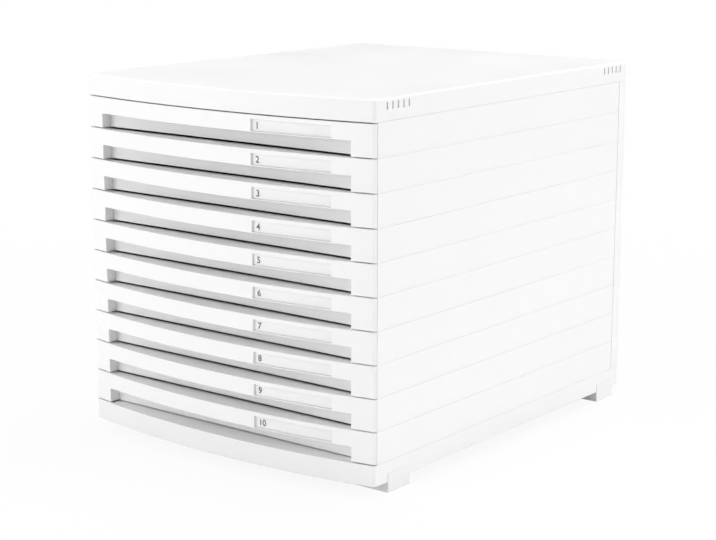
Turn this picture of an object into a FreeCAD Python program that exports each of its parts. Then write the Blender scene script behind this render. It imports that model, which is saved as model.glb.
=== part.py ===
import FreeCAD, Part
import math
import os
import re
import Sketcher
from FreeCAD import Vector

# Desktop drawer box: a case on four feet with ten low drawers, in millimetres.
# The frame: X to the right, Y to the rear, Z up, origin under the middle of the box on the desk.
# Each piece is drawn with Y = 0 on the line through the two front corners of the case.

os.makedirs("parts", exist_ok=True)
doc = FreeCAD.newDocument("drawer_box")

# Driving dimensions

DIMENSIONS = [
    ("case_width", 276, "outside width of the case"),
    ("case_depth", 340, "front corners of the case to its rear"),
    ("front_bulge", 13, "how far the middle of the front stands ahead of its corners"),
    ("front_corner", 2.5, "radius of the upright front corners"),
    ("rear_corner", 5, "radius of the upright rear corners"),
    ("drawer_count", 10, "number of drawers"),
    ("drawer_pitch", 24, "height from one drawer to the next"),
    ("seam", 0.9, "visible gap between two drawer fronts"),
    ("fit_gap", 0.3, "clearance between pieces that fit into each other"),
    ("joint_gap", 0.1, "gap in the tight joints of the case"),
    ("front_gap", 0.5, "gap between a drawer front and a side panel"),
    ("post_gap", 0.55, "gap between a side panel and a post of the rear panel"),
    ("notch_gap", 0.6, "gap between a foot's tab and the front of its notch"),
    ("overcut", 1, "how far a cut runs past the face that it opens"),
    ("foot_drop", 8, "height of the case above the desk"),
    ("base_skirt", 16, "height of the base's skirt"),
    ("cover_skirt", 16, "height of the top cover's skirt"),
    ("shell_wall", 2.2, "thickness of the skirts, posts and rear wall"),
    ("deck_thickness", 2.5, "thickness of the top plate and of the base's floor"),
    ("top_round", 1.5, "rounding of the top cover's upper edge"),
    ("bottom_round", 0.8, "rounding of the base's lower edge"),
    ("keeper_wall", 2, "thickness of the ribs that keep the walls in the base and the cover"),
    ("keeper_height", 6, "height of those ribs"),
    ("keeper_inset", 14, "distance of the ends of those ribs from front and rear"),
    ("stiffener_wall", 1.6, "thickness of the cross ribs of the base and the cover"),
    ("stiffener_height", 4, "height of the cross ribs"),
    ("stiffener_count", 4, "number of cross ribs"),
    ("stiffener_first", 62, "first cross rib behind the front corners"),
    ("stiffener_pitch", 72, "distance between cross ribs"),
    ("slot_width", 1.6, "width of a ventilation slot"),
    ("slot_height", 5.3, "height of a ventilation slot"),
    ("slot_pitch", 6.2, "distance between ventilation slots"),
    ("slot_count", 5, "ventilation slots in a group"),
    ("slot_drop", 2.6, "top of the slots below the top of the case"),
    ("slot_front_set", 12.7, "first slot behind the front corners"),
    ("slot_rear_set", 39.9, "first slot of the rear group ahead of the rear"),
    ("panel_wall", 2.3, "wall thickness of the side panels"),
    ("panel_front", 3, "front edge of the side panels behind the front corners"),
    ("panel_margin", 7, "solid border of the side panels around their hollow inside"),
    ("groove_height", 0.6, "height of the grooves outside on the side panels"),
    ("groove_depth", 0.2, "depth of those grooves"),
    ("post_depth", 14, "depth of the rear panel's side posts"),
    ("post_width", 9, "width of those posts seen from behind"),
    ("rail_setback", 1.6, "front ends of the rails behind the drawer front"),
    ("rail_thickness", 2, "thickness of the rail under a tray's rim"),
    ("rail_clearance", 1.2, "gap between a rail's edge and the side of a tray"),
    ("guide_thickness", 1.6, "thickness of the guide above a tray's rim"),
    ("guide_reach", 4, "how far the guide reaches over the rim"),
    ("stop_reach", 1.6, "how far a tray's stop lug stands out of its rim"),
    ("lug_gap", 0.6, "gap between a stop lug and the side panel"),
    ("stop_length", 5, "length of the stop web in the rail"),
    ("stop_gap", 0.5, "gap left at the stop when a drawer is fully out"),
    ("lug_length", 8, "length of a tray's stop lug"),
    ("travel", 225, "how far a drawer slides out"),
    ("tray_inset", 16, "side of a tray from the side of the case"),
    ("tray_wall", 1.6, "thickness of a tray's walls"),
    ("tray_floor", 1.6, "thickness of a tray's floor"),
    ("tray_lift", 0.8, "underside of a tray above the bottom of its cell"),
    ("tray_rear_gap", 0.5, "gap between a tray and the rear wall"),
    ("tray_round", 3, "rounding inside a tray"),
    ("front_wall_drop", 3, "top of a tray's front wall below its rim's top"),
    ("rim_thickness", 1.8, "thickness of the rim"),
    ("rim_drop", 1.9, "top of the rim below the top of its cell"),
    ("block_width", 18.5, "width of the end blocks beside the grip recess"),
    ("recess_back", 5.6, "back wall of the grip recess behind the front corners"),
    ("back_wall", 1.8, "thickness of that back wall"),
    ("visor_height", 12.8, "height of the visor over the recess, from the cell's top"),
    ("visor_wall", 2.2, "thickness of the visor"),
    ("hood_drop", 1.25, "top of the hood at its rear end, below the top of its cell"),
    ("hood_rise", 0.7, "how much higher the hood's top is behind the middle of the visor"),
    ("hood_thickness", 1.8, "thickness of the hood's top at its rear end"),
    ("block_wall", 2.5, "wall thickness of the hollow end blocks"),
    ("edge_round", 0.5, "rounding of the visor's edges"),
    ("label_inset", 33.5, "right end of the label pocket from the side of the case"),
    ("label_length", 67.2, "length of the label pocket"),
    ("label_top", 2.2, "top of the label pocket below the hood's top"),
    ("label_sill", 0.8, "bottom of the label pocket above the visor's lip"),
    ("label_depth", 2.4, "depth of the label pocket"),
    ("label_back", 2.2, "wall behind the label pocket"),
    ("label_border", 2.5, "border of that wall beyond the ends of the pocket"),
    ("label_play", 0.1, "play in front of and behind the label strip"),
    ("strip_thickness", 0.4, "thickness of the label strip"),
    ("window_thickness", 0.9, "thickness of the clear window"),
    ("clip_inset", 42, "clips of a drawer front from the sides of the case"),
    ("clip_width", 12, "width of a clip"),
    ("clip_lift", 12, "underside of a clip above the bottom of its cell"),
    ("clip_height", 2, "height of a clip's arm"),
    ("clip_barb", 1.2, "height of a clip's barb"),
    ("clip_nose", 1.4, "length of a clip's barb"),
    ("foot_length", 25, "length of a foot, front to rear"),
    ("foot_width", 28, "width of a foot"),
    ("foot_wall", 2.4, "wall thickness of a foot"),
    ("foot_front_set", 16, "front feet behind the front corners"),
    ("foot_rear_set", 11.5, "rear feet ahead of the rear"),
    ("foot_tab", 6.5, "height of the notch for a foot's tab in the base's skirt"),
    ("peg_size", 8, "side of the square peg on a foot"),
    ("peg_inset", 10, "peg from the outer side of the case"),
    ("peg_rise", 2, "top of the peg above the base's floor"),
]

sheet = doc.addObject("Spreadsheet::Sheet", "sizes")
for row, (alias, value, meaning) in enumerate(DIMENSIONS, start=1):
    sheet.set("A%d" % row, meaning)
    sheet.set("B%d" % row, str(value))
    sheet.setAlias("B%d" % row, alias)
doc.recompute()
NAMES = {alias for alias, value, meaning in DIMENSIONS}

# Places that follow from the driving dimensions, as expressions

HALF_WIDTH = "case_width / 2"
FRONT_RADIUS = "((case_width / 2)^2 + front_bulge^2) / (2 * front_bulge)"
SHELL_INSIDE = "case_width / 2 - shell_wall"
PANEL_OUTSIDE = f"{SHELL_INSIDE} - fit_gap"
PANEL_INSIDE = f"{PANEL_OUTSIDE} - panel_wall"
REAR_WALL_OUTSIDE = "case_depth - shell_wall - fit_gap"
REAR_WALL_INSIDE = f"{REAR_WALL_OUTSIDE} - shell_wall"
POST_FRONT = "case_depth - post_depth"
CELLS = "drawer_count * drawer_pitch"
WALL_LEVELS = ("joint_gap - seam / 2", f"{CELLS} + seam / 2 - joint_gap")
CASE_ORIGIN = "(front_bulge - case_depth) / 2"
BASE_BOTTOM = "foot_drop"
CELLS_BOTTOM = "foot_drop + base_skirt"
COVER_BOTTOM = f"{CELLS_BOTTOM} + {CELLS} + seam / 2"
BASE_HEIGHT = "base_skirt - seam / 2"
COVER_HEIGHT = "cover_skirt - seam / 2"
FRONT_BACK = "recess_back + back_wall"
RAIL_FRONT = f"{FRONT_BACK} + rail_setback"
TRAY_SIDE = f"{HALF_WIDTH} - tray_inset"
RIM_SIDE = f"{PANEL_INSIDE} - lug_gap - stop_reach"
TRAY_REAR = f"{REAR_WALL_INSIDE} - tray_rear_gap"
RIM_TOP = "drawer_pitch - rim_drop"
RIM_BOTTOM = f"{RIM_TOP} - rim_thickness"
LIP = "drawer_pitch - visor_height"
HOOD_TOP = "drawer_pitch - hood_drop"
HOOD_UNDERSIDE = f"{HOOD_TOP} - hood_thickness"
HOOD_SLOPE = f"hood_rise / ({FRONT_BACK} + front_bulge - visor_wall)"
HALF_RECESS = f"{HALF_WIDTH} - block_width"
LABEL_RIGHT = f"{HALF_WIDTH} - label_inset"
LABEL_LEFT = f"{LABEL_RIGHT} - label_length"
LABEL_BOTTOM = f"{LIP} + label_sill"
LABEL_TOP = f"{HOOD_TOP} - label_top"
CLIP_OUTSIDE = f"{HALF_WIDTH} - clip_inset"
CLIP_INSIDE = f"{CLIP_OUTSIDE} - clip_width"
KEEPER_SIDE = f"{PANEL_INSIDE} - fit_gap"
PEG_OUTSIDE = f"{HALF_WIDTH} - peg_inset"
AHEAD = "-(front_bulge + overcut)"

# Two places closer than this are the same place
TOUCH = 0.01

# Helpers


def written_out(expression):
    """The expression with each driving dimension read from the sheet."""
    return re.sub(r"[a-z_]+", lambda word: f"sizes.{word[0]}" if word[0] in NAMES else word[0], expression)


def bind(item, target, expression):
    """Tie one property or constraint of an object to the driving dimensions."""
    item.setExpression(target, written_out(expression))


def value_of(expression):
    """The expression's present value, to draw a sketch close to its final shape."""
    return float(sheet.evalExpression(written_out(expression)))


def new_body(label, bottom):
    """A body whose own Y = 0 lies on the front corners and whose Z = 0 lies at the given height."""
    body = doc.addObject("PartDesign::Body", label)
    body.Label = label
    bind(body, "Placement.Base.y", CASE_ORIGIN)
    bind(body, "Placement.Base.z", bottom)
    return body


def origin_feature(body, role):
    """One of the body's own origin planes or axes."""
    return next(feature for feature in body.Origin.OriginFeatures if feature.Role == role)


def block(body, name, x, y, z, cut=False):
    """A block between two planes on each axis, added to the body or cut out of it."""
    kind = "PartDesign::SubtractiveBox" if cut else "PartDesign::AdditiveBox"
    item = body.newObject(kind, f"{body.Name}_{name}")
    for side, axis, (low, high) in zip(("Length", "Width", "Height"), "xyz", (x, y, z)):
        bind(item, side, f"({high}) - ({low})")
        bind(item, f"Placement.Base.{axis}", low)
    return item


def block_pair(body, name, x, y, z, cut=False):
    """A block on the right and its twin on the left."""
    near, far = x
    right = block(body, name + "_right", x, y, z, cut)
    left = block(body, name + "_left", (f"-({far})", f"-({near})"), y, z, cut)
    return [right, left]


def plan_sketch(body, name, level):
    """An empty sketch that lies level in the body at the given height."""
    sketch = body.newObject("Sketcher::SketchObject", f"{body.Name}_{name}")
    sketch.AttachmentSupport = (origin_feature(body, "XY_Plane"), [""])
    sketch.MapMode = "FlatFace"
    bind(sketch, "AttachmentOffset.Base.z", level)
    return sketch


def constrain(sketch, expression, *parts):
    """A dimension of the sketch that follows the driving dimensions."""
    number = sketch.addConstraint(Sketcher.Constraint(*parts, value_of(expression)))
    bind(sketch, f"Constraints[{number}]", expression)


def front_arc(sketch, left, right, inset):
    """An arc that runs from left to right, parallel to the bulging front and inset behind it."""
    radius = value_of(f"{FRONT_RADIUS} - ({inset})")
    centre = Vector(0, value_of(f"{FRONT_RADIUS} - front_bulge"), 0)
    start = 1.5 * math.pi + math.asin(value_of(left) / radius)
    end = 1.5 * math.pi + math.asin(value_of(right) / radius)
    circle = Part.Circle(centre, Vector(0, 0, 1), radius)
    arc = sketch.addGeometry(Part.ArcOfCircle(circle, start, end))
    sketch.addConstraint(Sketcher.Constraint("PointOnObject", arc, 3, -2))
    constrain(sketch, f"{FRONT_RADIUS} - front_bulge", "DistanceY", -1, 1, arc, 3)
    constrain(sketch, f"{FRONT_RADIUS} - ({inset})", "Radius", arc)
    return arc


def line(sketch, start, end, direction):
    """A straight line between two points, kept Horizontal or Vertical."""
    number = sketch.addGeometry(Part.LineSegment(Vector(*start, 0), Vector(*end, 0)))
    sketch.addConstraint(Sketcher.Constraint(direction, number))
    return number


def join(sketch, *corners):
    """Each corner joins a point of one line or arc with a point of the next."""
    for corner in corners:
        sketch.addConstraint(Sketcher.Constraint("Coincident", *corner))


def front_area(sketch, left, right, inset, back):
    """The area from the bulging front, less an inset, to a straight line at the back."""
    arc = front_arc(sketch, left, right, inset)
    x_left = value_of(left)
    x_right = value_of(right)
    y_back = value_of(back)
    right_side = line(sketch, (x_right, 0), (x_right, y_back), "Vertical")
    back_side = line(sketch, (x_right, y_back), (x_left, y_back), "Horizontal")
    left_side = line(sketch, (x_left, y_back), (x_left, 0), "Vertical")
    join(sketch, (arc, 2, right_side, 1), (right_side, 2, back_side, 1))
    join(sketch, (back_side, 2, left_side, 1), (left_side, 2, arc, 1))
    constrain(sketch, right, "DistanceX", -1, 1, right_side, 2)
    constrain(sketch, left, "DistanceX", -1, 1, left_side, 1)
    constrain(sketch, back, "DistanceY", -1, 1, back_side, 1)


def front_strip(sketch, left, right, near, far):
    """The strip between two arcs parallel to the bulging front, inset by near and by far."""
    near_arc = front_arc(sketch, left, right, near)
    far_arc = front_arc(sketch, left, right, far)
    x_left = value_of(left)
    x_right = value_of(right)
    right_side = line(sketch, (x_right, -1), (x_right, 0), "Vertical")
    left_side = line(sketch, (x_left, 0), (x_left, -1), "Vertical")
    join(sketch, (near_arc, 2, right_side, 1), (right_side, 2, far_arc, 2))
    join(sketch, (far_arc, 1, left_side, 1), (left_side, 2, near_arc, 1))
    constrain(sketch, right, "DistanceX", -1, 1, right_side, 1)
    constrain(sketch, left, "DistanceX", -1, 1, left_side, 1)


def pad(body, sketch, height):
    """The sketch raised by the given height."""
    feature = body.newObject("PartDesign::Pad", sketch.Name + "_pad")
    feature.Profile = sketch
    bind(feature, "Length", height)
    sketch.Visibility = False
    return feature


def pocket_up(body, sketch, height):
    """The sketch cut out of the body from its own level upwards."""
    feature = body.newObject("PartDesign::Pocket", sketch.Name + "_pocket")
    feature.Profile = sketch
    feature.Reversed = True
    bind(feature, "Length", height)
    sketch.Visibility = False
    return feature


def repeat(body, name, originals, role, count, pitch):
    """Copies of the features along one of the body's axes."""
    pattern = body.newObject("PartDesign::LinearPattern", f"{body.Name}_{name}")
    pattern.Originals = originals
    pattern.Direction = (origin_feature(body, role), [""])
    bind(pattern, "Occurrences", count)
    bind(pattern, "Length", f"({pitch}) * ({count} - 1)")
    body.Tip = pattern
    return pattern


def edges_where(feature, wanted):
    """Names of the feature's edges that are wanted, by their middle point and their run from end to end."""
    doc.recompute()
    names = []
    for number, edge in enumerate(feature.Shape.Edges, start=1):
        middle = edge.valueAt((edge.FirstParameter + edge.LastParameter) / 2)
        run = edge.Vertexes[-1].Point - edge.Vertexes[0].Point
        if wanted(middle, run):
            names.append(f"Edge{number}")
    return names


def rounded(body, name, feature, radius, wanted):
    """Wanted edges of the feature rounded with the radius."""
    fillet = body.newObject("PartDesign::Fillet", f"{body.Name}_{name}")
    fillet.Base = (feature, edges_where(feature, wanted))
    bind(fillet, "Radius", radius)
    return fillet


def near(place, *others):
    """Whether a place is one of the others."""
    return any(abs(place - other) < TOUCH for other in others)


def is_upright(run):
    """Whether an edge runs straight up."""
    return math.hypot(run.x, run.y) < TOUCH < abs(run.z)


def round_corners(body, feature, depth, radius):
    """The upright corners of a piece at the given depth, rounded."""
    place = value_of(depth)
    return rounded(body, f"{radius}s", feature, radius, lambda at, run: is_upright(run) and near(at.y, place))


def round_rim(body, feature, height, radius):
    """The edges of a piece at the given height, rounded."""
    level = value_of(height)
    return rounded(body, radius, feature, radius, lambda at, run: near(at.z, level) and abs(run.z) < TOUCH)


def outline_shell(body, height):
    """A solid of the case's whole outline, with its upright corners rounded."""
    outline = plan_sketch(body, "outline", "0")
    front_area(outline, f"-{HALF_WIDTH}", HALF_WIDTH, "0", "case_depth")
    solid = round_corners(body, pad(body, outline, height), "0", "front_corner")
    return round_corners(body, solid, "case_depth", "rear_corner")


def hollow_shell(body, level, height):
    """A hollow inside the skirt, from one level upwards."""
    inside = plan_sketch(body, "inside", level)
    front_area(inside, f"-({SHELL_INSIDE})", SHELL_INSIDE, "shell_wall", "case_depth - shell_wall")
    pocket_up(body, inside, height)


def shell_ribs(body, level, rib_side):
    """Ribs that keep the side and rear walls in place, and cross ribs; rib_side gives a rib's two levels."""
    keeper_levels = rib_side(level, "keeper_height")
    block_pair(body, "side_keeper", (f"{KEEPER_SIDE} - keeper_wall", KEEPER_SIDE),
               ("keeper_inset", f"{REAR_WALL_INSIDE} - keeper_inset"), keeper_levels)
    rear_keeper = f"{REAR_WALL_INSIDE} - fit_gap"
    block(body, "rear_keeper", (f"-({TRAY_SIDE})", TRAY_SIDE),
          (f"{rear_keeper} - keeper_wall", rear_keeper), keeper_levels)
    stiffener = block(body, "stiffener", (f"-({KEEPER_SIDE} - keeper_wall)", f"{KEEPER_SIDE} - keeper_wall"),
                      ("stiffener_first", "stiffener_first + stiffener_wall"),
                      rib_side(level, "stiffener_height"))
    repeat(body, "stiffeners", [stiffener], "Y_Axis", "stiffener_count", "stiffener_pitch")


def upwards(level, height):
    """The two levels of a rib that stands on a level."""
    return level, f"{level} + {height}"


def downwards(level, height):
    """The two levels of a rib that hangs from a level."""
    return f"{level} - {height}", level


# Base


def make_base():
    base = new_body("base", BASE_BOTTOM)
    round_rim(base, outline_shell(base, BASE_HEIGHT), "0", "bottom_round")
    hollow_shell(base, "deck_thickness", "base_skirt")
    ledge = plan_sketch(base, "ledge", f"{BASE_HEIGHT} - hood_thickness")
    front_area(ledge, f"-({HALF_RECESS})", HALF_RECESS, "shell_wall / 2", FRONT_BACK)
    pad(base, ledge, "hood_thickness")
    shell_ribs(base, "deck_thickness", upwards)
    rear_foot = "case_depth - foot_rear_set - foot_length"
    for place, foot_front in (("front", "foot_front_set"), ("rear", rear_foot)):
        block_pair(base, f"{place}_notch", (SHELL_INSIDE, f"{HALF_WIDTH} + overcut"),
                   (f"{foot_front} - notch_gap", f"{foot_front} + foot_length + joint_gap"),
                   ("-overcut", "foot_tab"), cut=True)
        peg_front = f"{foot_front} + (foot_length - peg_size) / 2"
        block_pair(base, f"{place}_socket",
                   (f"{PEG_OUTSIDE} - peg_size - fit_gap", f"{PEG_OUTSIDE} + fit_gap"),
                   (f"{peg_front} - fit_gap", f"{peg_front} + peg_size + fit_gap"),
                   ("-overcut", "deck_thickness + overcut"), cut=True)
    return base


# Top cover


def make_top_cover():
    cover = new_body("top_cover", COVER_BOTTOM)
    round_rim(cover, outline_shell(cover, COVER_HEIGHT), COVER_HEIGHT, "top_round")
    ceiling = f"{COVER_HEIGHT} - deck_thickness"
    hollow_shell(cover, "0", ceiling)
    shell_ribs(cover, ceiling, downwards)
    slots = []
    slot_top = f"{COVER_HEIGHT} - slot_drop"
    for place, slot_front in (("front", "slot_front_set"), ("rear", "case_depth - slot_rear_set")):
        slots += block_pair(cover, f"{place}_slot", (f"{SHELL_INSIDE} - fit_gap", f"{HALF_WIDTH} + overcut"),
                            (slot_front, f"{slot_front} + slot_width"),
                            (f"{slot_top} - slot_height", slot_top), cut=True)
    repeat(cover, "slots", slots, "Y_Axis", "slot_count", "slot_pitch")
    return cover


# Side panels


def make_right_side_panel():
    panel = new_body("right_side_panel", CELLS_BOTTOM)
    tongue_bottom = "deck_thickness - base_skirt"
    tongue_top = f"{CELLS} + cover_skirt - deck_thickness"
    block(panel, "core", (PANEL_INSIDE, PANEL_OUTSIDE),
          ("panel_front", f"{REAR_WALL_INSIDE} - fit_gap"), (tongue_bottom, tongue_top))
    field_rear = f"{POST_FRONT} - post_gap"
    block(panel, "field", (PANEL_OUTSIDE, HALF_WIDTH), ("panel_front", field_rear), WALL_LEVELS)
    block(panel, "hollow", (f"{PANEL_INSIDE} - overcut", PANEL_OUTSIDE),
          ("panel_front + panel_margin", f"{field_rear} - panel_margin"),
          ("panel_margin", f"{CELLS} - panel_margin"), cut=True)
    rail_length = (RAIL_FRONT, f"{REAR_WALL_INSIDE} - fit_gap")
    rail_top = f"{RIM_BOTTOM} - fit_gap"
    guide_bottom = f"{RIM_TOP} + fit_gap"
    rail = block(panel, "rail", (f"{TRAY_SIDE} + rail_clearance", PANEL_OUTSIDE), rail_length,
                 (f"{rail_top} - rail_thickness", rail_top))
    guide = block(panel, "guide", (f"{RIM_SIDE} - guide_reach", PANEL_OUTSIDE), rail_length,
                  (guide_bottom, f"{guide_bottom} + guide_thickness"))
    stop = block(panel, "stop", (f"{RIM_SIDE} + fit_gap", PANEL_OUTSIDE),
                 (RAIL_FRONT, f"{RAIL_FRONT} + stop_length"), (rail_top, guide_bottom))
    repeat(panel, "rails", [rail, guide, stop], "Z_Axis", "drawer_count", "drawer_pitch")
    groove = block(panel, "groove", (f"{HALF_WIDTH} - groove_depth", f"{HALF_WIDTH} + overcut"),
                   ("0", "case_depth"),
                   ("drawer_pitch - groove_height / 2", "drawer_pitch + groove_height / 2"), cut=True)
    repeat(panel, "grooves", [groove], "Z_Axis", "drawer_count - 1", "drawer_pitch")
    return panel


def mirrored(source, label):
    """The piece's twin on the other side of the box."""
    twin = doc.addObject("Part::Mirroring", label)
    twin.Label = label
    twin.Source = source
    twin.Normal = Vector(1, 0, 0)
    return twin


# Rear panel


def make_rear_panel():
    panel = new_body("rear_panel", CELLS_BOTTOM)
    width = (f"-{HALF_WIDTH}", HALF_WIDTH)
    posts = block(panel, "posts", width, (POST_FRONT, "case_depth"), WALL_LEVELS)
    round_corners(panel, posts, "case_depth", "rear_corner")
    block(panel, "inside", (f"-({SHELL_INSIDE})", SHELL_INSIDE),
          (f"{POST_FRONT} - overcut", REAR_WALL_INSIDE), WALL_LEVELS, cut=True)
    block(panel, "outside", (f"-({HALF_WIDTH} - post_width)", f"{HALF_WIDTH} - post_width"),
          (REAR_WALL_OUTSIDE, "case_depth + overcut"), WALL_LEVELS, cut=True)
    block(panel, "wall", (f"-({PANEL_OUTSIDE})", PANEL_OUTSIDE), (REAR_WALL_INSIDE, REAR_WALL_OUTSIDE),
          ("deck_thickness - base_skirt", f"{CELLS} + cover_skirt - deck_thickness"))
    return panel


# Feet


def make_front_right_foot():
    foot = new_body("foot_front_right", "0")
    length = ("foot_front_set", "foot_front_set + foot_length")
    block(foot, "sole", (f"{HALF_WIDTH} - foot_width", HALF_WIDTH), length, ("0", "foot_drop"))
    block(foot, "tab", (f"{SHELL_INSIDE} + fit_gap", HALF_WIDTH), length,
          ("0", "foot_drop + foot_tab - joint_gap"))
    block(foot, "hollow", (f"{HALF_WIDTH} - foot_width + foot_wall", f"{HALF_WIDTH} - foot_wall"),
          ("foot_front_set + foot_wall", "foot_front_set + foot_length - foot_wall"),
          ("-overcut", "foot_drop - foot_wall"), cut=True)
    peg_front = "foot_front_set + (foot_length - peg_size) / 2"
    block(foot, "peg", (f"{PEG_OUTSIDE} - peg_size", PEG_OUTSIDE), (peg_front, f"{peg_front} + peg_size"),
          ("foot_drop - foot_wall", "foot_drop + deck_thickness + peg_rise"))
    return foot


# Drawer tray


def make_tray():
    tray = new_body("drawer_tray_01", f"{CELLS_BOTTOM} + (drawer_count - 1) * drawer_pitch")
    length = (FRONT_BACK, TRAY_REAR)
    inner_side = f"{TRAY_SIDE} - tray_wall"
    inner_front = f"{FRONT_BACK} + tray_wall"
    inner_rear = f"{TRAY_REAR} - tray_wall"
    floor = "tray_lift + tray_floor"
    block(tray, "outside", (f"-({TRAY_SIDE})", TRAY_SIDE), length, ("tray_lift", RIM_TOP))
    block_pair(tray, "rim", (inner_side, RIM_SIDE), length, (RIM_BOTTOM, RIM_TOP))
    lug_front = f"{RAIL_FRONT} + stop_length + travel + stop_gap"
    block_pair(tray, "lug", (RIM_SIDE, f"{RIM_SIDE} + stop_reach"),
               (lug_front, f"{lug_front} + lug_length"), (RIM_BOTTOM, RIM_TOP))
    hollow = block(tray, "hollow", (f"-({inner_side})", inner_side), (inner_front, inner_rear),
                   (floor, "drawer_pitch"), cut=True)
    side = value_of(inner_side)
    ends = (value_of(inner_front), value_of(inner_rear))
    bottom = value_of(floor)

    def lies_inside(at, run):
        corner = is_upright(run) and near(abs(at.x), side) and near(at.y, *ends)
        foot_of_wall = near(at.z, bottom) and (near(abs(at.x), side) or near(at.y, *ends))
        return corner or foot_of_wall

    rounded(tray, "inside_edges", hollow, "tray_round", lies_inside)
    block(tray, "low_front", (f"tray_round - ({inner_side})", f"{inner_side} - tray_round"),
          (f"{FRONT_BACK} - overcut", f"{inner_front} + overcut"),
          (f"{RIM_TOP} - front_wall_drop", "drawer_pitch"), cut=True)
    block_pair(tray, "clip_slot", (f"{CLIP_INSIDE} - fit_gap", f"{CLIP_OUTSIDE} + fit_gap"),
               (f"{FRONT_BACK} - overcut", f"{inner_front} + overcut"),
               ("clip_lift - fit_gap", "clip_lift + clip_height + fit_gap"), cut=True)
    return tray


# Drawer front


def make_drawer_front():
    front = new_body("drawer_front_01", f"{CELLS_BOTTOM} + (drawer_count - 1) * drawer_pitch")
    bottom = "seam / 2"
    top = "drawer_pitch - seam / 2"
    across_recess = (f"-({HALF_RECESS})", HALF_RECESS)
    outline = plan_sketch(front, "outline", bottom)
    front_area(outline, f"-{HALF_WIDTH}", HALF_WIDTH, "0", "panel_front - front_gap")
    round_corners(front, pad(front, outline, f"{top} - {bottom}"), "0", "front_corner")
    block(front, "back", (f"-({RIM_SIDE})", RIM_SIDE), ("0", FRONT_BACK), (bottom, f"{HOOD_TOP} + hood_rise"))
    grip = plan_sketch(front, "grip", "0")
    front_area(grip, *across_recess, "visor_wall", "recess_back")
    pocket_up(front, grip, HOOD_UNDERSIDE)
    block(front, "opening", across_recess, (AHEAD, "recess_back / 2"), ("0", LIP), cut=True)
    relief = plan_sketch(front, "hood_relief", f"{HOOD_TOP} + {HOOD_SLOPE} * ({FRONT_BACK})")
    relief.AttachmentOffset.Rotation = FreeCAD.Rotation(Vector(1, 0, 0), -1)
    bind(relief, "AttachmentOffset.Rotation.Angle", f"-atan({HOOD_SLOPE})")
    front_area(relief, *across_recess, "visor_wall", f"{FRONT_BACK} + overcut")
    pocket_up(front, relief, "hood_drop")
    boss = plan_sketch(front, "label_boss", LIP)
    front_strip(boss, f"{LABEL_LEFT} - label_border", f"{LABEL_RIGHT} + label_border",
                "visor_wall / 2", "label_depth + label_back")
    pad(front, boss, f"{HOOD_UNDERSIDE} - ({LIP}) + hood_thickness / 2")
    pocket = plan_sketch(front, "label_pocket", LABEL_BOTTOM)
    front_strip(pocket, LABEL_LEFT, LABEL_RIGHT, "-overcut", "label_depth")
    pocket_up(front, pocket, f"{LABEL_TOP} - ({LABEL_BOTTOM})")
    block_pair(front, "block_hollow", (f"{HALF_RECESS} + block_wall", f"{HALF_WIDTH} - block_wall"),
               ("0", f"{FRONT_BACK} + overcut"),
               (f"{bottom} + block_wall", f"{HOOD_TOP} - block_wall"), cut=True)
    clip_side = (CLIP_INSIDE, CLIP_OUTSIDE)
    clip_end = f"{FRONT_BACK} + tray_wall + fit_gap + clip_nose"
    clip_top = "clip_lift + clip_height"
    block_pair(front, "clip", clip_side, ("recess_back + back_wall / 2", clip_end), ("clip_lift", clip_top))
    barbs = block_pair(front, "barb", clip_side, (f"{clip_end} - clip_nose", clip_end),
                       ("clip_lift", f"{clip_top} + clip_barb"))
    radius = value_of(FRONT_RADIUS)
    centre = value_of(f"{FRONT_RADIUS} - front_bulge")
    levels = [value_of(height) for height in (bottom, top, LIP)]
    recess_side = value_of(HALF_RECESS)

    def lies_on_front(at, run):
        if not near(math.hypot(at.x, at.y - centre), radius):
            return False
        return near(at.z, *levels) or is_upright(run) and near(abs(at.x), recess_side)

    rounded(front, "edges", barbs[-1], "edge_round", lies_on_front)
    return front


# Label strip and window


def make_label(label, near_inset, far_inset):
    piece = new_body(label, f"{CELLS_BOTTOM} + (drawer_count - 1) * drawer_pitch")
    outline = plan_sketch(piece, "outline", f"{LABEL_BOTTOM} + fit_gap")
    front_strip(outline, f"{LABEL_LEFT} + fit_gap", f"{LABEL_RIGHT} - fit_gap", near_inset, far_inset)
    pad(piece, outline, f"{LABEL_TOP} - ({LABEL_BOTTOM}) - 2 * fit_gap")
    return piece


# Assembly


def placed_copy(source, label, offset_y, offset_z):
    """The same piece again at another place."""
    copy = doc.addObject("App::Link", label)
    copy.Label = label
    copy.LinkedObject = source
    bind(copy, "Placement.Base.y", offset_y)
    bind(copy, "Placement.Base.z", offset_z)
    return copy


pieces = [make_base(), make_top_cover(), make_rear_panel()]
right_panel = make_right_side_panel()
pieces += [right_panel, mirrored(right_panel, "left_side_panel")]

foot_shift = "case_depth - foot_rear_set - foot_length - foot_front_set"
right_foot = make_front_right_foot()
left_foot = mirrored(right_foot, "foot_front_left")
pieces += [right_foot, left_foot]
pieces.append(placed_copy(right_foot, "foot_rear_right", f"{CASE_ORIGIN} + {foot_shift}", "0"))
pieces.append(placed_copy(left_foot, "foot_rear_left", foot_shift, "0"))

strip_front = "label_depth - label_play - strip_thickness"
window_back = f"{strip_front} - label_play"
drawer = [
    make_tray(),
    make_drawer_front(),
    make_label("label_strip_01", strip_front, "label_depth - label_play"),
    make_label("label_window_01", f"{window_back} - window_thickness", window_back),
]
pieces += drawer
for number in range(2, int(value_of("drawer_count")) + 1):
    level = f"{CELLS_BOTTOM} + (drawer_count - {number}) * drawer_pitch"
    for piece in drawer:
        pieces.append(placed_copy(piece, piece.Label.replace("01", f"{number:02d}"), CASE_ORIGIN, level))

doc.recompute()

# Checks, then one file for each piece

for item in doc.Objects:
    if "Invalid" in item.State or "Error" in item.State:
        raise RuntimeError(f"{item.Label} could not be built")

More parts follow.
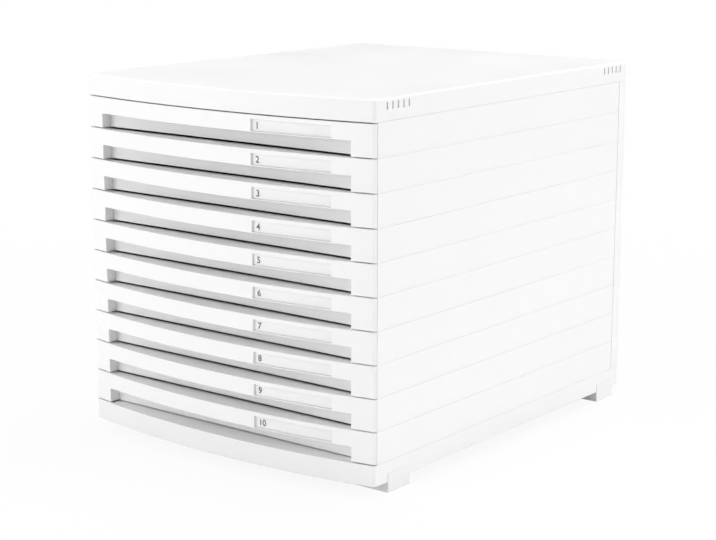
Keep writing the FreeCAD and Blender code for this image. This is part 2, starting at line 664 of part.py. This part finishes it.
for piece in pieces:
    if piece.Shape.isNull() or not piece.Shape.isValid():
        raise RuntimeError(f"{piece.Label} has no valid shape")
    print(f"{piece.Label:20} {len(piece.Shape.Solids)} solid  {piece.Shape.Volume / 1000:9.3f} cm3")

for piece in pieces:
    piece.Shape.exportStep(f"parts/{piece.Label}.step")
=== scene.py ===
# %% [markdown]
# # A desktop drawer box with ten drawers
#
# This lesson dresses a white office drawer box: a moulded case on four feet, with ten low drawers
# that bulge forwards, a grip recess in each and a label beside it. The shapes come from the packed
# CAD model, so the lesson adds what CAD leaves out: the finish of each plastic, the paper and its
# printed numbers, the light and the camera. All lengths are in metres, Z points up, and the origin
# lies under the middle of the box on the desk.

# %% Load the frame
import math

import bmesh
import bpy
from mathutils import Matrix, Vector


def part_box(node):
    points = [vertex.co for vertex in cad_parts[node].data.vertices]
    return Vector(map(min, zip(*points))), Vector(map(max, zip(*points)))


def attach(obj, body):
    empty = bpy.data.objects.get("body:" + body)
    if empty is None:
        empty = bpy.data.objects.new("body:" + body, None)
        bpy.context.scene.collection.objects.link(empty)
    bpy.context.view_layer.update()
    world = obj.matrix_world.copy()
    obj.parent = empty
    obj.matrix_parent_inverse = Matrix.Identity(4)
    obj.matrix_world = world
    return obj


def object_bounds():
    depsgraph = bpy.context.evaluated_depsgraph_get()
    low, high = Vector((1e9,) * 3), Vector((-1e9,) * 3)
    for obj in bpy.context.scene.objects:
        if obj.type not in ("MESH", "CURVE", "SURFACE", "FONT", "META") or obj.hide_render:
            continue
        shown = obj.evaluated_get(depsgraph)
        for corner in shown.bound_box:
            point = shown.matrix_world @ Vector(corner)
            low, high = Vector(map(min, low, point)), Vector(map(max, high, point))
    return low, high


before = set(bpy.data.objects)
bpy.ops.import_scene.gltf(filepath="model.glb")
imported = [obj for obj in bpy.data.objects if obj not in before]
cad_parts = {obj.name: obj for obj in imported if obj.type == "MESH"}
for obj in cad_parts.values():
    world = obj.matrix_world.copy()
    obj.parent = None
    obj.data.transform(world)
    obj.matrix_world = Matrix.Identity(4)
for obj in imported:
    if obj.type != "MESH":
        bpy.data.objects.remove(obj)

cad_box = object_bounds()

# %% [markdown]
# ## Looking from the right place
#
# The photograph was taken from the front right, a little above the box, with a long lens. The
# camera could be aimed with a Track To constraint, but a turn about X and then about Z says the same
# in two numbers and can't roll. The heading is how far the camera has gone round to the right, and
# the drop is how far it looks down.

# %% Camera
MM = 0.001
CAMERA_PLACE = Vector((852.8, -1097.4, 419.1)) * MM
CAMERA_HEADING = math.radians(37.99)
CAMERA_DROP = math.radians(12.24)

SENSOR_WIDTH_MM = 36
FOCAL_LENGTH_MM = 88.94
NEAREST_SEEN = 50 * MM

lens = bpy.data.cameras.new("long_lens")
lens.sensor_width = SENSOR_WIDTH_MM
lens.lens = FOCAL_LENGTH_MM
lens.clip_start = NEAREST_SEEN
camera = bpy.data.objects.new("camera", lens)
camera.location = CAMERA_PLACE
camera.rotation_euler = (math.pi / 2 - CAMERA_DROP, 0, CAMERA_HEADING)
bpy.context.scene.collection.objects.link(camera)
bpy.context.scene.camera = camera
print("camera at", tuple(round(value, 3) for value in CAMERA_PLACE))

# %% [markdown]
# ## A helper for materials
#
# Every material here is a small net of nodes. Each could be clicked together in the Shader Editor,
# and a helper that adds a node, sets its values and links its inputs keeps each net readable. The
# nets use Object coordinates, which are metres here, so a Scale of 1000 makes spots of about a
# millimetre.

# %% Node helper
NOISE_LOW, NOISE_HIGH = 0.3, 0.7      # where the values of a noise mostly lie


def start_material(name):
    """A new material with an empty node tree."""
    material = bpy.data.materials.new(name)
    material.use_nodes = True
    material.node_tree.nodes.clear()
    return material


def add_node(material, kind, links=None, **values):
    """One node; values name its settings or its inputs, links feed its inputs from other nodes."""
    node = material.node_tree.nodes.new(kind)
    for name, value in values.items():
        socket = node.inputs.get(name.replace("_", " "))
        if socket is None:
            setattr(node, name, value)
        else:
            socket.default_value = value
    for name, source in (links or {}).items():
        material.node_tree.links.new(source, node.inputs[name])
    return node


def grey(level):
    """An opaque neutral colour."""
    return (level, level, level, 1)


def between(material, factor, low, high):
    """A number that runs from low to high as a noise runs through its usual values."""
    node = add_node(material, "ShaderNodeMapRange", {"Value": factor},
                    From_Min=NOISE_LOW, From_Max=NOISE_HIGH)
    node.inputs["To Min"].default_value = low
    node.inputs["To Max"].default_value = high
    return node.outputs["Result"]


# %% [markdown]
# ## White moulded plastic
#
# The box is injection moulded polystyrene. Three things keep it from looking like a computer's
# plain white. The steel mould leaves a fine grain, so small bumps break up the sheen. The melt
# cools unevenly, so the roughness drifts in soft clouds. And no moulded edge is truly sharp: the
# Bevel node bends the normals within a third of a millimetre of each edge, which a Bevel modifier
# could do too, but only with many more faces on forty-nine pieces.

# %% Plastics
EDGE_SOFTNESS = 0.35 * MM
CLOUDS_PER_METRE = 14


def moulded_plastic(name, level, grain_size, grain_height, roughness):
    """White moulded plastic with a mould grain, flow clouds and softened edges."""
    material = start_material(name)
    place = add_node(material, "ShaderNodeTexCoord").outputs["Object"]
    clouds = add_node(material, "ShaderNodeTexNoise", {"Vector": place},
                      Scale=CLOUDS_PER_METRE, Detail=3, Roughness=0.5)
    tint = add_node(material, "ShaderNodeMix", {"Factor": clouds.outputs["Fac"]}, data_type="RGBA")
    tint.inputs["A"].default_value = grey(0.99 * level)
    tint.inputs["B"].default_value = grey(level)
    grains = add_node(material, "ShaderNodeTexNoise", {"Vector": place},
                      Scale=1 / grain_size, Detail=2, Roughness=0.6)
    soft_edge = add_node(material, "ShaderNodeBevel", samples=6, Radius=EDGE_SOFTNESS)
    relief = add_node(material, "ShaderNodeBump",
                      {"Height": grains.outputs["Fac"], "Normal": soft_edge.outputs["Normal"]},
                      Strength=0.3, Distance=grain_height)
    plastic = add_node(material, "ShaderNodeBsdfPrincipled", {
        "Base Color": tint.outputs["Result"],
        "Roughness": between(material, clouds.outputs["Fac"], roughness - 0.04, roughness + 0.05),
        "Normal": relief.outputs["Normal"],
    }, IOR=1.5)
    add_node(material, "ShaderNodeOutputMaterial", {"Surface": plastic.outputs["BSDF"]})
    print(name, "level", level, "grain", round(grain_size / MM, 2), "mm")
    return material


case_plastic = moulded_plastic("case_plastic", level=0.96, grain_size=0.7 * MM,
                               grain_height=0.05 * MM, roughness=0.46)
front_plastic = moulded_plastic("front_plastic", level=0.97, grain_size=0.5 * MM,
                                grain_height=0.04 * MM, roughness=0.38)
tray_plastic = moulded_plastic("tray_plastic", level=0.95, grain_size=0.7 * MM,
                               grain_height=0.04 * MM, roughness=0.42)
foot_plastic = moulded_plastic("foot_plastic", level=0.95, grain_size=0.8 * MM,
                               grain_height=0.05 * MM, roughness=0.5)

# %% [markdown]
# ## Paper and print
#
# The label strips are punched from thin card. Card isn't one white: short fibres lie across it and
# take the light a little differently. A noise that is stretched along X makes those fibres, and a
# finer one roughens the surface. The numbers are printed in dark grey ink that soaks in unevenly,
# so the ink gets the same treatment with a weaker contrast.

# %% Paper
FIBRES_PER_METRE = (900, 3000, 3000)


def fibrous(name, dark, light, roughness):
    """A matt surface with short fibres that run mostly along X."""
    material = start_material(name)
    place = add_node(material, "ShaderNodeTexCoord").outputs["Object"]
    stretched = add_node(material, "ShaderNodeMapping", {"Vector": place}, Scale=FIBRES_PER_METRE)
    fibres = add_node(material, "ShaderNodeTexNoise", {"Vector": stretched.outputs["Vector"]},
                      Scale=1, Detail=4, Roughness=0.65)
    tint = add_node(material, "ShaderNodeMix", {"Factor": fibres.outputs["Fac"]}, data_type="RGBA")
    tint.inputs["A"].default_value = grey(dark)
    tint.inputs["B"].default_value = grey(light)
    relief = add_node(material, "ShaderNodeBump", {"Height": fibres.outputs["Fac"]},
                      Strength=0.4, Distance=0.02 * MM)
    surface = add_node(material, "ShaderNodeBsdfPrincipled", {
        "Base Color": tint.outputs["Result"],
        "Normal": relief.outputs["Normal"],
        "Roughness": between(material, fibres.outputs["Fac"], roughness, roughness + 0.1),
    }, IOR=1.35)
    add_node(material, "ShaderNodeOutputMaterial", {"Surface": surface.outputs["BSDF"]})
    return material


paper = fibrous("label_paper", dark=0.94, light=0.98, roughness=0.8)
ink = fibrous("label_ink", dark=0.06, light=0.11, roughness=0.6)
print("paper and ink ready")

# %% [markdown]
# ## Clear window
#
# A thin clear plate bends the light so little that refraction would only cost render time and
# darken the card. So the plate is nearly see-through, by a low Alpha, and keeps a smooth surface
# whose sheen is broken by faint rubbing marks.

# %% Window
RUBS_PER_METRE = (120, 900, 900)

clear = start_material("label_clear")
place = add_node(clear, "ShaderNodeTexCoord").outputs["Object"]
rubbed = add_node(clear, "ShaderNodeMapping", {"Vector": place}, Scale=RUBS_PER_METRE)
marks = add_node(clear, "ShaderNodeTexNoise", {"Vector": rubbed.outputs["Vector"]}, Scale=1, Detail=3)
pane = add_node(clear, "ShaderNodeBsdfPrincipled", {
    "Roughness": between(clear, marks.outputs["Fac"], 0.06, 0.16),
}, Base_Color=grey(0.95), IOR=1.49, Alpha=0.06)
add_node(clear, "ShaderNodeOutputMaterial", {"Surface": pane.outputs["BSDF"]})
print("window alpha", pane.inputs["Alpha"].default_value)

# %% [markdown]
# ## A finish for each piece
#
# The pieces come from the frame with their names, so one small table of name starts says which
# finish goes where. What the table doesn't name belongs to the case.

# %% Finishes
FINISHES = {
    "drawer_front": front_plastic,
    "drawer_tray": tray_plastic,
    "foot": foot_plastic,
    "label_strip": paper,
    "label_window": clear,
}
for name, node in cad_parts.items():
    named = [material for start, material in FINISHES.items() if name.startswith(start)]
    finish = named[0] if named else case_plastic
    for material_slot in node.material_slots:
        material_slot.material = finish
print("finished", len(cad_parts), "pieces")

# %% [markdown]
# ## A number on each label
#
# Each drawer carries a plain number, from 1 at the top to 10, at the left end of its label. A text
# object is quick to set, and turning it into a mesh lets its corners be moved straight to their
# place. The label follows the bulging front, which is part of a wide circle, so a number is turned
# about the upright axis by the angle at which it sits on that circle. The circle comes from the box
# of the whole model, whose foremost point is the middle of the bulge, and the places come from each
# strip's own box in the frame.

# %% Numbers
DIGIT_HEIGHT = 4.8 * MM
DIGIT_INSET = 2.6 * MM
DIGIT_SHARE = 0.73        # height of a digit as a share of the font's size
INK_THICKNESS = 0.03 * MM
STROKE_GAIN = 0.16 * MM
FRONT_BULGE = 13 * MM
STRIP_INSET = 1.9 * MM
half_width = cad_box[1][0]
front_radius = (half_width ** 2 + FRONT_BULGE ** 2) / (2 * FRONT_BULGE)
front_centre_y = cad_box[0][1] + front_radius


def text_mesh(name, words, height, thickness):
    """Flat words as a mesh, with the given height of a digit."""
    curve = bpy.data.curves.new(name, "FONT")
    curve.body = words
    curve.size = height / DIGIT_SHARE
    curve.extrude = thickness / 2
    curve.offset = STROKE_GAIN
    curve.resolution_u = 6
    shape = bpy.data.objects.new(name, curve)
    bpy.context.scene.collection.objects.link(shape)
    mesh = bpy.data.meshes.new_from_object(shape.evaluated_get(bpy.context.evaluated_depsgraph_get()))
    bpy.data.objects.remove(shape)
    return mesh


def add_number(drawer_number):
    """A printed number at the left end of a drawer's label strip."""
    low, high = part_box(f"label_strip_{drawer_number:02d}")
    mesh = text_mesh(f"number_{drawer_number:02d}", str(drawer_number), DIGIT_HEIGHT, INK_THICKNESS)
    place_x = low[0] + DIGIT_INSET
    across = front_radius - STRIP_INSET + INK_THICKNESS / 2
    turn = math.asin(place_x / across)
    place_y = front_centre_y - across * math.cos(turn)
    place = Vector((place_x, place_y, (low[2] + high[2] - DIGIT_HEIGHT) / 2))
    upright = Matrix.Rotation(math.pi / 2, 4, "X")
    mesh.transform(Matrix.Translation(place) @ Matrix.Rotation(turn, 4, "Z") @ upright)
    mesh.materials.append(ink)
    number = bpy.data.objects.new(f"number_{drawer_number:02d}", mesh)
    bpy.context.scene.collection.objects.link(number)
    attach(number, f"drawer_{drawer_number:02d}")
    return number


DRAWER_COUNT = 10
numbers = [add_number(drawer_number) for drawer_number in range(1, DRAWER_COUNT + 1)]
heights = {round(number.dimensions.z / MM, 2) for number in numbers}
print(len(numbers), "numbers, heights in mm", heights)

# %% [markdown]
# ## A white floor that keeps the shadow
#
# The photograph is a catalogue picture on pure white. A floor that only glows would lose the soft
# shadow under the box, and a floor that is only lit would turn grey. So the camera sees mostly
# glow mixed with a little lit white, and further away from the box nothing but glow, since no shadow
# reaches there. Every other ray meets the plain lit floor, which bounces light up onto the box as a
# sheet of white card would.

# %% Floor
GLOW_NEAR = 0.9
SHADOW_REACH = (0.3, 0.9)
FLOOR_HALF_WIDTH = 6

white_floor = start_material("white_floor")
lit = add_node(white_floor, "ShaderNodeBsdfDiffuse", Color=grey(0.88))
glow = add_node(white_floor, "ShaderNodeEmission", Color=grey(1), Strength=1.0)
where = add_node(white_floor, "ShaderNodeTexCoord").outputs["Object"]
away = add_node(white_floor, "ShaderNodeVectorMath", {"Vector": where}, operation="LENGTH")
share = add_node(white_floor, "ShaderNodeMapRange", {"Value": away.outputs["Value"]},
                 From_Min=SHADOW_REACH[0], From_Max=SHADOW_REACH[1], To_Min=GLOW_NEAR)
rays = add_node(white_floor, "ShaderNodeLightPath")
seen = add_node(white_floor, "ShaderNodeMath",
                {0: rays.outputs["Is Camera Ray"], 1: share.outputs["Result"]}, operation="MULTIPLY")
both = add_node(white_floor, "ShaderNodeMixShader",
                {"Fac": seen.outputs["Value"], 1: lit.outputs["BSDF"], 2: glow.outputs["Emission"]})
add_node(white_floor, "ShaderNodeOutputMaterial", {"Surface": both.outputs["Shader"]})

floor_net = bmesh.new()
bmesh.ops.create_grid(floor_net, x_segments=1, y_segments=1, size=FLOOR_HALF_WIDTH)
floor_mesh = bpy.data.meshes.new("floor")
floor_net.to_mesh(floor_mesh)
floor_net.free()
floor_mesh.materials.append(white_floor)
floor = bpy.data.objects.new("floor", floor_mesh)
bpy.context.scene.collection.objects.link(floor)
print("floor", [round(side, 1) for side in floor.dimensions], "m")

# %% [markdown]
# ## Soft light from all round
#
# The studio was bright and almost without shadows. The shade under each visor is thin at the left
# end and thicker at the right end, so the main light came from low on the left. The tops of the
# hoods are white too, so a second box hangs higher in front of them. Four more boxes light the
# two sides, the back and the top, and a pale room fills the rest. A small lamp would draw hard
# shadows instead, so all six are large.

# %% Room
ROOM_STRENGTH = 0.2

world = bpy.data.worlds.new("white_room")
world.use_nodes = True
bpy.context.scene.world = world
room = world.node_tree.nodes["Background"]
room.inputs["Color"].default_value = grey(1)
sight = world.node_tree.nodes.new("ShaderNodeLightPath")
strength = world.node_tree.nodes.new("ShaderNodeMapRange")
strength.inputs["To Min"].default_value = ROOM_STRENGTH
world.node_tree.links.new(sight.outputs["Is Camera Ray"], strength.inputs["Value"])
world.node_tree.links.new(strength.outputs["Result"], room.inputs["Strength"])
print("room strength", ROOM_STRENGTH, "and white where the camera looks past the floor")

# %% Soft boxes
BOX_MIDDLE = Vector((0, 0, 0.14))


def soft_box(name, heading, rise, width, height, watts, distance=1.9):
    """A soft box seen from the middle at that heading from the front, to the right, and that rise."""
    turn = math.radians(heading)
    climb = math.radians(rise)
    away = Vector((math.sin(turn) * math.cos(climb), -math.cos(turn) * math.cos(climb), math.sin(climb)))
    lamp = bpy.data.lights.new(name, "AREA")
    lamp.shape = "RECTANGLE"
    lamp.size = width
    lamp.size_y = height
    lamp.energy = watts
    item = bpy.data.objects.new(name, lamp)
    item.location = BOX_MIDDLE + distance * away
    item.rotation_euler = away.to_track_quat("Z", "Y").to_euler()
    bpy.context.scene.collection.objects.link(item)
    print(name, watts, "W,", width, "x", height, "m")


soft_box("low_front_box", heading=-22, rise=12, width=1.2, height=0.4, watts=9.7)
soft_box("high_front_box", heading=-14, rise=40, width=1.6, height=0.8, watts=8.2)
soft_box("side_box", heading=98, rise=18, width=1.6, height=0.9, watts=14.2)
soft_box("left_box", heading=-92, rise=18, width=1.6, height=0.9, watts=7.5)
soft_box("rear_box", heading=172, rise=18, width=1.6, height=0.9, watts=6)
soft_box("top_box", heading=150, rise=80, width=1.2, height=1.2, watts=20.2, distance=1.8)

# %% [markdown]
# ## Plain colours on screen
#
# The Standard view shows a colour as it is written, which suits a product picture on white.

# %% Finish
bpy.context.scene.view_settings.view_transform = "Standard"
